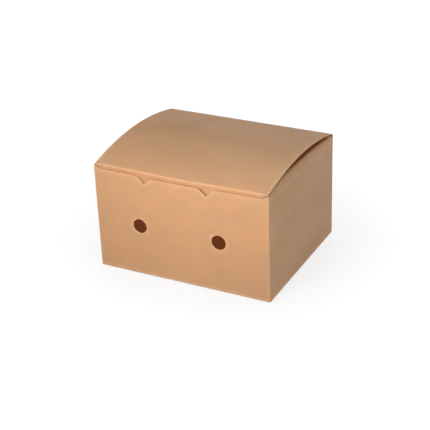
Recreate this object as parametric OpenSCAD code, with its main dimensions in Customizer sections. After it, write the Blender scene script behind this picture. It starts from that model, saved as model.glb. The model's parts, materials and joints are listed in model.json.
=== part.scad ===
// Snack box: a tuck top carton folded and glued from one blank of paperboard.
// The tray is the four walls, the dust flaps, the glue flap and the crash lock base.
// The lid is the arched panel with the tuck that goes down behind the front wall.
// Origin at the middle of the base, front wall towards -Y, Z up, millimetres.

/* [Box] */
// Width of the box over its side walls
box_w = 170; // [140:1:240]
// Depth of the box over its front and back walls
box_d = 143; // [125:1:200]
// Height of the side walls, up to the dust flaps' creases
side_h = 99.2; // [75:0.2:150]
// Height of the front wall, up to its cut edge
front_h = 98.6; // [75:0.2:100]
// How far the front wall's edge sweeps up into each corner of the box
corner_sweep = 8; // [3:0.5:16]
// Height of the front corners above the side walls
corner_rise = 3.2; // [0.4:0.1:4]
// Height of the hinge crease above the side walls
hinge_rise = 2.6; // [2:0.1:8]
// Thickness of the paperboard
board_t = 0.5; // [0.3:0.05:0.8]
// Outer radius of every folded crease
fold_r = 1.1; // [0.9:0.1:2]

/* [Lid] */
// Height of the arch above the line from the hinge to the front crease
lid_arch = 9; // [6:0.1:20]
// Height of the closed lid's front crease above its hinge crease
front_rise = 1.1; // [0:0.1:3]
// How far each side edge of the lid stays inside the side walls' outer faces
lid_inset = 1; // [0.9:0.1:4]
// Radius of the lid's front corners
lid_corner_r = 2; // [1:0.5:8]
// Depth of the tuck from the front crease to its free edge
tuck_depth = 22; // [14:0.5:34]
// How far each end of the tuck stays inside the side walls' outer faces
tuck_inset = 3.8; // [2.5:0.1:8]
// Angle by which each end of the tuck tapers
tuck_taper = 6; // [0:1:15]
// Radius of the tuck's free corners
tuck_corner_r = 9; // [3:0.5:12]
// Length of the lock slit at each end of the front crease
slit_len = 8; // [6:0.5:20]
// Width of a lock slit
slit_w = 0.7; // [0.4:0.1:1.2]

/* [Dust flaps] */
// Depth of a dust flap from its crease to its free edge
dust_depth = 32; // [22:0.5:40]
// Angle by which each end of a dust flap tapers
dust_taper = 44; // [38:1:46]
// Angle by which a dust flap leaves its crease more steeply than a straight one would
dust_curl = 11; // [4:1:12]
// Radius of the dust flaps' free corners
dust_corner_r = 7; // [3:0.5:12]

/* [Front wall] */
// Diameter of a vent hole
vent_d = 13.8; // [8:0.2:20]
// Distance between the vent holes' centres
vent_pitch = 78; // [40:1:100]
// Height of the vent holes' centres
vent_z = 49.4; // [20:0.2:60]
// How far the pair of vent holes lies right of the wall's middle
vent_shift = -1.9; // [-6:0.1:6]
// Width of a V notch at the wall's edge
notch_w = 14.5; // [10:0.5:20]
// Depth of a V notch
notch_depth = 6.8; // [4:0.2:10]
// Radius of the cut at a V notch's tip and shoulders
notch_r = 1.2; // [0.4:0.1:1.6]
// Distance between the V notches
notch_pitch = 60.4; // [40:0.2:90]
// How far the pair of V notches lies right of the wall's middle
notch_shift = -3; // [-6:0.1:6]

/* [Base and glue flap] */
// Width of the glue flap inside the left wall
glue_w = 15; // [10:0.5:22]
// How far the glue flap's ends stay from the left wall's creases
glue_end = 3; // [2:0.5:8]
// Depth of the two outer base flaps
outer_flap_depth = 61; // [40:1:66]
// Angle by which the glued end of an outer base flap tapers
outer_flap_taper = 8; // [2:1:15]
// How far each hook of the base reaches past the middle
hook_reach = 18; // [10:0.5:26]
// How far a hook's ends stay from the box's middle and from the side walls
hook_end = 14; // [8:0.5:24]
// Radius of the base flaps' free corners
base_corner_r = 6; // [2:0.5:8]
// Width of the pressed line across each outer base flap's glued corner
score_w = 0.8; // [0.5:0.1:1.5]
// Depth of that pressed line
score_depth = 0.12; // [0.05:0.01:0.2]

/* [Clearances] */
// Gap between the lid and the board around it
lid_gap = 0.4; // [0.3:0.05:0.8]
// Gap between flaps or edges that lie beside each other in one layer
seam_gap = 0.5; // [0.4:0.1:1]
// Gap between the ends of a crease and the board beside them
crease_gap = 0.25; // [0.2:0.05:0.4]
// Gap between the swinging tuck and the dust flaps' front ends
dust_gap = 1.8; // [1:0.1:4]
// Extra lean of the tuck beyond the least that lets it swing out
tuck_spare = 1.6; // [1:0.1:3]

/* [Hidden] */

tray_color = "#d0a074";
lid_color = "#c69a70";
$fn = 96;
// The arched panel is cut from a large tube, so its circles take more steps
arch_fn = 720;
// Steps along each rounded corner of a cut outline, and around each crease
corner_steps = 6;
fold_steps = 8;
// How far a flap's outline reaches back over its crease
crease_back = 2 * fold_r;
// Overshoot of a cutting solid past the face that it cuts, and of a curve past its cut end
over = 1;
over_turn = 1;

// Worked out angles and radii are kept to a hundredth
function tidy(value) = round(100 * value) / 100;

half_w = box_w / 2;
half_d = box_d / 2;
// Where the flat stretch of a wall ends and its corner fold begins
flat_half_w = half_w - fold_r;
flat_half_d = half_d - fold_r;

// Pressing the hinge crease swells the board into a bead, which is the lid's back edge
bead_d = 1.3 * board_t;
hinge_y = half_d - bead_d / 2;
hinge_z = side_h + hinge_rise;
back_h = hinge_z - bead_d / 2 - lid_gap;

// The arch is a circular arc from the hinge to the front crease, through the board's middle
lid_half_w = half_w - lid_inset;
lid_front_y = -half_d + board_t + lid_gap / 2;
chord_y = hinge_y - lid_front_y - fold_r;
chord = norm([chord_y, front_rise]);
chord_tilt = atan(front_rise / chord_y);
arch_r = tidy(chord * chord / (8 * lid_arch) + lid_arch / 2);
arch_y = hinge_y - chord_y / 2 - (arch_r - lid_arch) * sin(chord_tilt);
arch_z = hinge_z + front_rise / 2 - (arch_r - lid_arch) * cos(chord_tilt);
// The whole turn of the arch, and its slope where it meets the front crease
arch_angle = 2 * asin(chord / 2 / arch_r);
arch_slope = arch_angle / 2 - chord_tilt;
// The slit corners of the lid run on as far as the middle of the crease
lip = fold_r * sin(45);

// The tuck leans in just enough to swing past the front wall
lid_reach = hinge_y - lid_front_y;
tuck_lean = asin(tuck_depth / (2 * lid_reach)) + tuck_spare;
tuck_turn = tidy(90 - arch_slope + tuck_lean);
tuck_half_w = half_w - tuck_inset;
crease_half_w = lid_half_w - slit_len;

// The dust flaps stop short of the swinging tuck
dust_front_y = hinge_y - (lid_reach - board_t) * cos(tuck_lean) + dust_gap;
dust_back_y = flat_half_d - seam_gap;
// They spring up until the corners of their free edges meet the lid
dust_slant = dust_depth * tan(dust_taper);
dust_tip_y = dust_back_y - crease_gap - dust_slant;
dust_roof = arch_z + sqrt(pow(arch_r - board_t / 2, 2) - pow(dust_tip_y - arch_y, 2));
dust_rise = tidy(atan((dust_roof - 2 * lid_gap - side_h) / dust_depth));
// Each flap curves over from a steeper start to a flatter free edge
dust_bend_r = tidy(dust_depth / cos(dust_rise) / (2 * sin(dust_curl)));

// Half lengths of the base flaps' creases
outer_half_l = flat_half_d - seam_gap;
inner_half_l = flat_half_w - seam_gap;

// Points along the rounded corner b = [x, y, radius] between its neighbours a and c
function unit(v) = v / norm(v);
function corner(a, b, c) =
    let (
        tip = [b[0], b[1]],
        u = unit([a[0], a[1]] - tip),
        v = unit([c[0], c[1]] - tip),
        half = acos(u * v) / 2,
        middle = tip + unit(u + v) * (b[2] / sin(half)),
        from = tip + u * (b[2] / tan(half)) - middle,
        to = tip + v * (b[2] / tan(half)) - middle,
        turn = 180 - 2 * half
    )
    b[2] == 0 ? [tip] : [
        for (i = [0:corner_steps])
            let (share = i / corner_steps)
            middle + (from * sin((1 - share) * turn) + to * sin(share * turn)) / sin(turn)
    ];

// A cut outline through corners [x, y, radius]
function outline(corners) =
    let (n = len(corners))
    [for (i = [0:n - 1]) each corner(corners[(i + n - 1) % n], corners[i], corners[(i + 1) % n])];

// Cross section of a crease about the origin, from the X axis, and of the panel beyond it
function arc(radius, from, to, middle = [0, 0]) =
    [for (i = [0:fold_steps])
        let (a = from + (to - from) * i / fold_steps)
        middle + radius * [cos(a), sin(a)]];
function fold_section(turn, reach) =
    let (
        outer = arc(fold_r, 0, turn),
        inner = arc(fold_r - board_t, turn, 0),
        away = reach * [-sin(turn), cos(turn)]
    )
    concat(outer, [outer[fold_steps] + away, inner[0] + away], inner);

// The same, where the panel beyond the crease curves on at a radius
function curl_section(turn, bend, bend_r) =
    let (middle = (fold_r - bend_r) * [cos(turn), sin(turn)])
    concat(
        arc(fold_r, 0, turn),
        arc(bend_r, turn, turn + bend, middle),
        arc(bend_r - board_t, turn + bend, turn, middle),
        arc(fold_r - board_t, turn, 0)
    );

// A crease along the Z axis with the panel that it turns, cut to the panel's outline.
// Outline corners are [distance past the crease, place along the crease, radius].
module folded_flap(turn, corners) {
    deep = max([for (c = corners) c[0]]) + over;
    low = min([for (c = corners) c[1]]) - over;
    high = max([for (c = corners) c[1]]) + over;
    intersection() {
        translate([0, 0, low])
            linear_extrude(high - low)
                polygon(fold_section(turn, deep));
        rotate([0, 0, turn])
            rotate([90, 0, 90])
                translate([0, 0, -over])
                    linear_extrude(fold_r + 2 * over)
                        polygon(outline(corners));
    }
}

// A flat panel of board, its lower face at z = 0
module panel(corners) {
    linear_extrude(board_t)
        polygon(outline(corners));
}

// Plan of the box at a distance inside its walls' outer faces
module wall_plan(inside) {
    r = fold_r - inside;
    square([2 * flat_half_w, box_d - 2 * inside], center = true);
    square([box_w - 2 * inside, 2 * flat_half_d], center = true);
    for (x = [-1, 1], y = [-1, 1])
        translate([x * flat_half_w, y * flat_half_d])
            circle(r);
}

// One V notch, pointing down from the wall's top edge at the origin
module notch() {
    half = notch_w / 2;
    polygon(outline([
        [-half - over, over, 0],
        [-half - over, 0, 0],
        [-half, 0, notch_r],
        [0, -notch_depth, notch_r],
        [half, 0, notch_r],
        [half + over, 0, 0],
        [half + over, over, 0]
    ]));
}

// Everything that is cut out of the front wall, drawn on the wall's plane
module front_cuts() {
    // The top edge sweeps up into both corners of the box
    polygon(outline([
        [-half_w - over, box_d, 0],
        [-half_w - over, side_h + corner_rise, 0],
        [-flat_half_w, side_h + corner_rise, 0],
        [-flat_half_w + corner_sweep, front_h, corner_sweep],
        [flat_half_w - corner_sweep, front_h, corner_sweep],
        [flat_half_w, side_h + corner_rise, 0],
        [half_w + over, side_h + corner_rise, 0],
        [half_w + over, box_d, 0]
    ]));
    translate([notch_shift, front_h])
        for (x = [-1, 1])
            translate([x * notch_pitch / 2, 0])
                notch();
    translate([vent_shift, vent_z])
        for (x = [-1, 1])
            translate([x * vent_pitch / 2, 0])
                circle(d = vent_d);
}

// A block that removes everything above a height, over a stretch of the plan
module trim(low, high, bottom) {
    translate([low[0], low[1], bottom])
        cube([high[0] - low[0], high[1] - low[1], box_d]);
}

// The four walls, bent from one strip of board
module walls() {
    far_w = half_w + over;
    far_d = half_d + over;
    corner_h = side_h + corner_rise;
    difference() {
        translate([0, 0, fold_r])
            linear_extrude(max(back_h, corner_h) - fold_r)
                difference() {
                    wall_plan(0);
                    wall_plan(board_t);
                }
        // The back wall ends below the hinge, and the side walls at their dust flaps
        trim([-far_w, dust_back_y], [far_w, far_d], back_h);
        for (m = [0, 1])
            mirror([m, 0, 0]) {
                trim([flat_half_w, -far_d], [far_w, dust_front_y], corner_h);
                trim([flat_half_w, dust_front_y], [far_w, dust_back_y], side_h - fold_r);
            }
        translate([0, -flat_half_d, 0])
            rotate([90, 0, 0])
                linear_extrude(fold_r + over)
                    front_cuts();
        // The front and back walls start one layer higher than the side walls
        for (y = [-1, 1])
            translate([0, y * half_d, fold_r + board_t / 2])
                cube([2 * flat_half_w, 2 * fold_r, board_t], center = true);
        // The left wall's raw edge beside the back corner
        translate([-half_w - over, flat_half_d - seam_gap, -over])
            cube([over + board_t, seam_gap / 2, hinge_z + 2 * over]);
    }
}

// The flap on the back wall that is glued inside the left wall
module glue_flap() {
    back_y = half_d - board_t;
    front_y = flat_half_d - glue_w;
    low = fold_r + board_t + glue_end;
    high = side_h - fold_r - glue_end;
    translate([-half_w + board_t, 0, 0])
        rotate([90, 0, 90])
            panel([
                [back_y, low - glue_end / 2, 0],
                [back_y, high + glue_end / 2, 0],
                [front_y, high - glue_end, board_t],
                [front_y, low + glue_end, board_t]
            ]);
}

// The right dust flap, which springs up in a curve under the lid
module dust_flap() {
    back = dust_back_y - crease_gap;
    front = dust_front_y + crease_gap;
    crease_x = half_w - fold_r;
    turn = 90 - dust_rise - dust_curl;
    intersection() {
        translate([crease_x, 0, side_h - fold_r])
            rotate([90, 0, 0])
                linear_extrude(box_d, center = true)
                    polygon(curl_section(turn, 2 * dust_curl + over_turn, dust_bend_r));
        linear_extrude(hinge_z + lid_arch)
            polygon(outline([
                [half_w + over, front, 0],
                [half_w + over, back, 0],
                [crease_x, back, 0],
                [crease_x - dust_depth, back - dust_slant, dust_corner_r],
                [crease_x - dust_depth, front + dust_slant, dust_corner_r],
                [crease_x, front, 0]
            ]));
    }
}

// The right outer base flap: one end is cut back at 45 degrees, the other is glued
module outer_base_flap() {
    a = outer_half_l;
    depth = outer_flap_depth - fold_r;
    difference() {
        translate([flat_half_w, 0, fold_r])
            rotate([-90, 0, 0])
                folded_flap(90, [
                    [0, -a, 0],
                    [-crease_back, -a, 0],
                    [-crease_back, a, 0],
                    [0, a, 0],
                    [depth, a - depth * tan(outer_flap_taper), base_corner_r],
                    [depth, depth - a, base_corner_r]
                ]);
        // The glued corner folds on a line pressed across the flap
        translate([flat_half_w, a, 0])
            rotate([0, 0, -135])
                translate([score_w, -score_w / 2, -over])
                    cube([2 * outer_flap_depth, score_w, over + score_depth]);
    }
}

// The front inner base flap reaches the middle, and its hook lies on the back one
module inner_base_flap() {
    a = inner_half_l;
    depth = flat_half_d - seam_gap / 2;
    hook_root = depth - hook_reach / 2;
    translate([0, -flat_half_d, fold_r + board_t])
        rotate([-90, 0, -90])
            folded_flap(90, [
                [-crease_back, -a, 0],
                [-crease_back, a, 0],
                [depth, a, seam_gap],
                [depth, -a, seam_gap]
            ]);
    translate([0, -flat_half_d, 2 * board_t])
        rotate([0, 0, 90])
            panel([
                [hook_root, hook_end, base_corner_r],
                [depth + hook_reach, hook_end, base_corner_r],
                [depth + hook_reach, half_w - hook_end, base_corner_r],
                [hook_root, half_w - hook_end, base_corner_r]
            ]);
}

module tray() {
    color(tray_color) {
        walls();
        glue_flap();
        for (m = [0, 1])
            mirror([m, 0, 0])
                dust_flap();
        for (turn = [0, 180])
            rotate([0, 0, turn]) {
                outer_base_flap();
                inner_base_flap();
            }
    }
}

// The arched panel, cut from a tube that lies along X.
// It is drawn with the start of the front crease straight above the tube's axis.
module arched_panel() {
    c = crease_half_w;
    w = lid_half_w;
    far = chord + over;
    difference() {
        intersection() {
            rotate([0, 90, 0])
                difference() {
                    cylinder(r = arch_r + board_t / 2, h = 2 * far, center = true, $fn = arch_fn);
                    cylinder(r = arch_r - board_t / 2, h = 2 * far + over, center = true, $fn = arch_fn);
                }
            // Only the corners outside the lock slits reach past the start of the crease
            linear_extrude(arch_r + board_t)
                polygon(outline([
                    [-w, far, 0],
                    [-w, -lip, lid_corner_r],
                    [-c, -lip, 0],
                    [-c, 0, 0],
                    [c, 0, 0],
                    [c, -lip, 0],
                    [w, -lip, lid_corner_r],
                    [w, far, 0]
                ]));
        }
        // The panel ends on the hinge axis
        rotate([-arch_angle, 0, 0])
            translate([-far, 0, 0])
                cube([2 * far, far, arch_r + over]);
    }
    rotate([-arch_angle, 0, 0])
        translate([0, 0, arch_r])
            rotate([0, 90, 0])
                cylinder(d = bead_d, h = 2 * (w - crease_gap), center = true);
}

// The front crease with the tuck, whose ears are slit free of the lid's corners
module tuck() {
    c = crease_half_w - crease_gap;
    e = tuck_half_w;
    depth = tuck_depth - fold_r;
    taper = (depth - slit_w) * tan(tuck_taper);
    translate([0, 0, arch_r + board_t / 2 - fold_r])
        rotate([180, -90, 0])
            folded_flap(tuck_turn, [
                [-crease_back, -c, 0],
                [-crease_back, c, 0],
                [slit_w, c, 0],
                [slit_w, e, 0],
                [depth, e - taper, tuck_corner_r],
                [depth, taper - e, tuck_corner_r],
                [slit_w, -e, 0],
                [slit_w, -c, 0]
            ]);
}

module lid() {
    color(lid_color)
        translate([0, arch_y, arch_z])
            rotate([arch_slope, 0, 0]) {
                arched_panel();
                tuck();
            }
}

tray();
lid();
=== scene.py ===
"""Tuck top snack box of satin kraft board: the board's folds, cut edges, creases and finish.

Every piece is cut flat from an outline, as the real blank is, and folded by a rule.
"""

import json
import math

import bpy
import numpy as np
from mathutils import Matrix, Vector
from mathutils.geometry import delaunay_2d_cdt


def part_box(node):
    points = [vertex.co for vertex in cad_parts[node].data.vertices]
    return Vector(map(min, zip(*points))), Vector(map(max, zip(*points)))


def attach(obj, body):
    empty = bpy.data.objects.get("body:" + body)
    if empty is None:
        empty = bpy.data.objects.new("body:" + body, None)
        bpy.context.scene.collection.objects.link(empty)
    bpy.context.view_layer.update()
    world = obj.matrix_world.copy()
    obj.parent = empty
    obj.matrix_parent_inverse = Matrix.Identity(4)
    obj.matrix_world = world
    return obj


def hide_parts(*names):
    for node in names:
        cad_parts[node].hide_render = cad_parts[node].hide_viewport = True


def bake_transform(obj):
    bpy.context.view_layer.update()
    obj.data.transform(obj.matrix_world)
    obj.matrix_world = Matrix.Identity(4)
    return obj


bl_info = {
    "name": "Snack Box",
    "version": (1, 0, 0),
    "blender": (4, 5, 0),
    "location": "View3D > Sidebar > Snack Box",
    "description": "Dresses a tuck top snack box in folded kraft board",
    "category": "Object",
}

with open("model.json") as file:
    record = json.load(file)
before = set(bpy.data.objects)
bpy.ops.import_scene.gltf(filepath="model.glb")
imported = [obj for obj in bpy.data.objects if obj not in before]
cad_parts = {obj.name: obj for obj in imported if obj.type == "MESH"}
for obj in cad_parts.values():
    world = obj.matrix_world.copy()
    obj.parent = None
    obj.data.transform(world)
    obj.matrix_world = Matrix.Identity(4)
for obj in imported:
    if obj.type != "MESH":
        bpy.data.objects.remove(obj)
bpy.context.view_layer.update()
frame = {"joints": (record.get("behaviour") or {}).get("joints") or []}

TRAY_LOW, TRAY_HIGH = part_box("tray")
HINGE = Vector(frame["joints"][0]["pos_m"])
BOX_WIDTH = TRAY_HIGH.x - TRAY_LOW.x
BOX_DEPTH = TRAY_HIGH.y - TRAY_LOW.y

MM = 0.001


def length(name, description, default, low=0.0, high=1.0):
    """A size in metres that a user can change."""
    return bpy.props.FloatProperty(
        name=name,
        description=description,
        default=default,
        min=low,
        max=high,
        precision=5,
        unit="LENGTH",
    )


def angle(name, description, degrees):
    """An angle that a user can change."""
    return bpy.props.FloatProperty(
        name=name,
        description=description,
        default=math.radians(degrees),
        subtype="ANGLE",
    )


def share(name, description, default):
    """A share from 0 to 1 that a user can change."""
    return bpy.props.FloatProperty(
        name=name, description=description, default=default, min=0.0, max=1.0
    )


def linear(red, green, blue):
    """An sRGB colour, 0 to 255, in the linear values that a shader takes."""
    return tuple(
        c / 12.92 if c <= 0.04045 else ((c + 0.055) / 1.055) ** 2.4
        for c in (red / 255, green / 255, blue / 255)
    )


def colour(name, description, red, green, blue):
    """A colour that a user can change."""
    return bpy.props.FloatVectorProperty(
        name=name,
        description=description,
        subtype="COLOR",
        size=3,
        min=0.0,
        max=1.0,
        default=linear(red, green, blue),
    )


class SnackBoxBoard(bpy.types.PropertyGroup):
    """The board and its folds"""

    thickness: length("Thickness", "Thickness of the board", 0.5 * MM)
    fold_radius: length("Fold Radius", "Outer radius of every fold", 1.1 * MM)
    seam_gap: length("Seam Gap", "Gap between edges in one layer", 0.5 * MM)
    grid: length("Grid", "Spacing of the mesh lines over a panel", 4 * MM)


class SnackBoxWalls(bpy.types.PropertyGroup):
    """The four walls and what is cut in the front one"""

    side_height: length("Side Height", "Height of the dust flaps' creases", 99.2 * MM)
    front_height: length("Front Height", "Height of the front wall", 98.9 * MM)
    corner_rise: length("Corner Rise", "Height of the front corners above the side walls", 2.8 * MM)
    corner_sweep: length("Corner Sweep", "Width of the sweep up into a front corner", 4.5 * MM)
    front_bow: length("Front Bow", "How far the tuck pushes the front wall out", 2.6 * MM)
    bow_width: length("Bow Width", "Half width of that bow", 70 * MM)
    side_bow: length("Side Bow", "How far the side walls' tops bend in and out", 1.3 * MM)
    vent_diameter: length("Vent Diameter", "Diameter of a vent hole", 13.8 * MM)
    vent_pitch: length("Vent Pitch", "Distance between the vent holes", 78 * MM)
    vent_height: length("Vent Height", "Height of the vent holes' centres", 49.4 * MM)
    vent_shift: length("Vent Shift", "How far left of the middle the vents lie", 1.9 * MM)
    notch_width: length("Notch Width", "Width of a V notch", 14.5 * MM)
    notch_depth: length("Notch Depth", "Depth of a V notch", 6.8 * MM)
    notch_radius: length("Notch Radius", "Radius of a V notch's tip", 1.2 * MM)
    notch_pitch: length("Notch Pitch", "Distance between the V notches", 60.4 * MM)
    notch_shift: length("Notch Shift", "How far left of the middle the notches lie", 3 * MM)


class SnackBoxFlaps(bpy.types.PropertyGroup):
    """The dust flaps, the glue flap and the base"""

    dust_front: length("Dust Front", "Distance from the front wall to a dust flap", 4.05 * MM)
    dust_back: length("Dust Back", "Distance from the back wall to a dust flap", 1.85 * MM)
    dust_depth: length("Dust Depth", "Depth of a dust flap", 37 * MM)
    dust_taper: angle("Dust Taper", "Angle of a dust flap's ends", 40)
    dust_corner: length("Dust Corner", "Radius of a dust flap's corners", 7 * MM)
    dust_steep: angle("Dust Steep", "Slope of a dust flap beside its crease", 79)
    dust_bend: length("Dust Bend", "Length over which it bends to follow the lid", 4 * MM)
    dust_gap: length("Dust Gap", "Distance from the middle of its board to the lid's", 3.2 * MM)
    dust_sag: length("Dust Sag", "How much lower it stands behind its middle", 3.0 * MM)
    dust_sag_y: length("Dust Sag Y", "Where it stands lowest", 4 * MM)
    dust_sag_width: length("Dust Sag Width", "Half width of that stretch", 72 * MM)
    glue_width: length("Glue Width", "Width of the glue flap", 15 * MM)
    glue_end: length("Glue End", "How far the glue flap's ends stay back", 3 * MM)
    outer_depth: length("Outer Depth", "Depth of the outer base flaps", 61 * MM)
    outer_taper: angle("Outer Taper", "Angle of an outer base flap's glued end", 8)
    hook_reach: length("Hook Reach", "How far the base's hooks pass the middle", 18 * MM)
    hook_end: length("Hook End", "Distance of a hook from the middle and the side", 14 * MM)
    base_corner: length("Base Corner", "Radius of the base flaps' corners", 6 * MM)


class SnackBoxLid(bpy.types.PropertyGroup):
    """The arched lid and its tuck"""

    arch: length("Arch", "Height of the arch above its chord", 9 * MM)
    front_rise: length("Front Rise", "Front crease above the hinge crease", 1.1 * MM)
    front_gap: length("Front Gap", "Gap from the front wall's outer face", 1.3 * MM)
    bow: length("Bow", "How far the front crease bows forward", 2.1 * MM)
    corner: length("Corner", "Radius of the lid's front corners", 2 * MM)
    lip: length("Lip", "How far the lid's corners reach past its crease", 2.2 * MM)
    overhang: length("Overhang", "How far the lid reaches past the side creases", 0.1 * MM)
    tuck_depth: length("Tuck Depth", "Depth of the tuck", 22 * MM)
    tuck_inset: length("Tuck Inset", "How far the tuck's ends stay inside the box", 3.8 * MM)
    tuck_taper: angle("Tuck Taper", "Angle of the tuck's ends", 6)
    tuck_corner: length("Tuck Corner", "Radius of the tuck's free corners", 9 * MM)
    tuck_spare: angle("Tuck Spare", "Lean beyond the least that swings out", 1.6)
    slit_length: length("Slit Length", "Length of a lock slit", 8 * MM)
    slit_width: length("Slit Width", "Width of a lock slit", 0.8 * MM)


class SnackBoxCreases(bpy.types.PropertyGroup):
    """The pressed beads inside the folds and the cut scores on the side creases"""

    bead_width: length("Bead Width", "Width of the bead inside a fold", 1.1 * MM)
    bead_height: length("Bead Height", "Height of the bead inside a fold", 0.3 * MM)
    score_length: length("Score Length", "Length of one cut in a cut score", 14 * MM)
    score_gap: length("Score Gap", "Length of board left between the cuts", 7.6 * MM)
    score_width: length("Score Width", "Width of the torn line at a cut", 1.9 * MM)
    score_turn: angle("Score Turn", "How far round the fold from the wall the cuts lie", 12)
    seed: bpy.props.IntProperty(name="Seed", description="Seed of the cuts' lengths", default=7)


class SnackBoxFinish(bpy.types.PropertyGroup):
    """Colours and gloss of the board"""

    outside: colour("Outside", "Satin outer face", 201, 151, 107)
    inside: colour("Inside", "Plain inner face", 190, 138, 96)
    edge: colour("Edge", "Cut edge", 236, 194, 158)
    # The worn tone is the pale broken coating along folds and cut edges, and also a painted
    # highlight on the lid's crease and the wall's cut rim
    worn_and_highlight: colour("Worn", "Coating broken along a fold", 232, 186, 146)
    glow: colour("Glow", "Light that comes through the board", 255, 165, 108)
    glow_strength: share("Glow Strength", "Strength of that light", 0.062)
    roughness: share("Roughness", "Roughness of the outer face", 0.6)
    coat: share("Coat", "Weight of the satin coat", 0.12)
    coat_roughness: share("Coat Roughness", "Roughness of the satin coat", 0.34)


class SnackBoxStudio(bpy.types.PropertyGroup):
    """Camera, floor and lamps"""

    azimuth: angle("Azimuth", "Camera's angle round the box from the front", 27.91)
    elevation: angle("Elevation", "Camera's angle above the floor", 27.04)
    roll: angle("Roll", "Camera's roll", -2.23)
    distance: length("Distance", "Camera's distance", 1.052, 0.1, 10)
    aim_height: length("Aim Height", "Height of the point that it is set back from", 50 * MM)
    aim_right: length("Aim Right", "Camera's shift to the right", -2.4 * MM, -1)
    aim_up: length("Aim Up", "Camera's shift up", -13.4 * MM, -1)
    focal_pixels: bpy.props.FloatProperty(
        name="Focal Pixels", description="Focal length in pixels", default=1141.4
    )
    image_size: bpy.props.IntProperty(
        name="Image Size", description="Width of the square image in pixels", default=430
    )
    floor: colour("Floor", "Floor and backdrop", 105, 105, 105)
    floor_glow: share("Floor Glow", "Glow that shows on the lit floor by the box", 0.8)


def sizes(*names):
    """The named groups of values that a user can change."""
    found = [getattr(bpy.context.scene, "snack_box_" + name) for name in names]
    return found if len(found) > 1 else found[0]


def middle_radius():
    """Radius of a fold in the middle of the board."""
    board = sizes("board")
    return board.fold_radius - board.thickness / 2


# Points of a cut outline


def unit(v):
    """The vector v at length one."""
    return v / np.linalg.norm(v)


def rounded(corners, steps=6):
    """Points of a closed outline through corners (u, v, radius)."""
    points = []
    count = len(corners)
    for i, (u, v, radius) in enumerate(corners):
        tip = np.array((u, v))
        if radius == 0:
            points.append(tip)
            continue
        before = unit(np.array(corners[i - 1][:2]) - tip)
        after = unit(np.array(corners[(i + 1) % count][:2]) - tip)
        half = math.acos(np.clip(before @ after, -1, 1)) / 2
        middle = tip + unit(before + after) * radius / math.sin(half)
        first = tip + before * radius / math.tan(half) - middle
        last = tip + after * radius / math.tan(half) - middle
        turn = math.pi - 2 * half
        for k in range(steps + 1):
            part = k / steps
            points.append(
                middle
                + (first * math.sin((1 - part) * turn) + last * math.sin(part * turn))
                / math.sin(turn)
            )
    return np.array(points)


def ring(u, v, radius, steps=48):
    """Points of a round hole."""
    turns = np.arange(steps) * math.tau / steps
    return np.stack([u + radius * np.cos(turns), v + radius * np.sin(turns)], 1)


def inside_loop(points, loop):
    """Which points lie inside a closed loop, by crossings."""
    x, y = points[:, 0], points[:, 1]
    found = np.zeros(len(points), bool)
    for a, b in zip(loop, np.roll(loop, -1, 0)):
        if a[1] == b[1]:
            continue
        crosses = (a[1] > y) != (b[1] > y)
        found ^= crosses & (x < (b[0] - a[0]) * (y - a[1]) / (b[1] - a[1]) + a[0])
    return found


def line_distance(points, a, b):
    """Distance of each point from the segment from a to b."""
    a, b = np.array(a, float), np.array(b, float)
    run = b - a
    part = np.clip((points - a) @ run / max(run @ run, 1e-18), 0, 1)
    return np.linalg.norm(points - (a + part[:, None] * run), axis=1)


def spaced(low, high, step):
    """Evenly spaced values from low to high, about a step apart."""
    count = max(1, round((high - low) / step))
    return list(np.linspace(low, high, count + 1))


# Board: a flat cut, meshed and folded by a rule

OUTSIDE, INSIDE, EDGE = range(3)
# Tolerance of the triangulation in millimetres, and the least area that a triangle keeps
CUT_TOLERANCE = 1e-4
LEAST_AREA = 1e-13
# How far the paler band reaches from a fold and from a cut edge: worn coating, and partly a painted
# highlight along creases and cut rims
FOLD_WEAR_AND_HIGHLIGHT = 0.9 * MM
CUT_WEAR_AND_HIGHLIGHT = 1.0 * MM
SHARP_ANGLE = math.radians(40)


def flat_mesh(outline, holes, columns, rows, lines=()):
    """Triangles over a flat cut, split along columns, rows and other lines.

    Works in millimetres, where the triangulation's tolerance suits a sheet.
    """
    points, edges = [], []

    def chain(loop, closed):
        start = len(points)
        points.extend(Vector((u / MM, v / MM)) for u, v in loop)
        count = len(loop)
        edges.extend((start + i, start + i + 1) for i in range(count - 1))
        if closed:
            edges.append((start + count - 1, start))

    low, high = outline.min(0), outline.max(0)
    chain(outline, True)
    for hole in holes:
        chain(hole, True)
    for u in columns:
        if low[0] < u < high[0]:
            chain([(u, low[1]), (u, high[1])], False)
    for v in rows:
        if low[1] < v < high[1]:
            chain([(low[0], v), (high[0], v)], False)
    for a, b in lines:
        chain([a, b], False)
    found = delaunay_2d_cdt(points, edges, [], 0, CUT_TOLERANCE)
    uv = np.array([tuple(p) for p in found[0]]) * MM
    triangles = np.array([f for f in found[2] if len(f) == 3])
    middles = uv[triangles].mean(1)
    keep = inside_loop(middles, outline)
    for hole in holes:
        keep &= ~inside_loop(middles, hole)
    triangles = triangles[keep]
    a, b, c = (uv[triangles[:, k]] for k in range(3))
    area = np.cross(b - a, c - a)
    real = np.abs(area) > LEAST_AREA
    triangles, area = triangles[real], area[real]
    triangles[area < 0] = triangles[area < 0][:, ::-1]
    used = np.unique(triangles)
    new_index = np.full(len(uv), -1)
    new_index[used] = np.arange(len(used))
    return uv[used], new_index[triangles]


def add_object(name, data):
    """An object in the scene that holds the data."""
    made = bpy.data.objects.new(name, data)
    bpy.context.scene.collection.objects.link(made)
    return made


def border_edges(triangles):
    """Directed edges that belong to one triangle only."""
    edges = np.concatenate([triangles[:, [0, 1]], triangles[:, [1, 2]], triangles[:, [2, 0]]])
    key = np.sort(edges, 1)
    _, index, count = np.unique(key, axis=0, return_index=True, return_counts=True)
    return edges[index[count == 1]]


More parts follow.
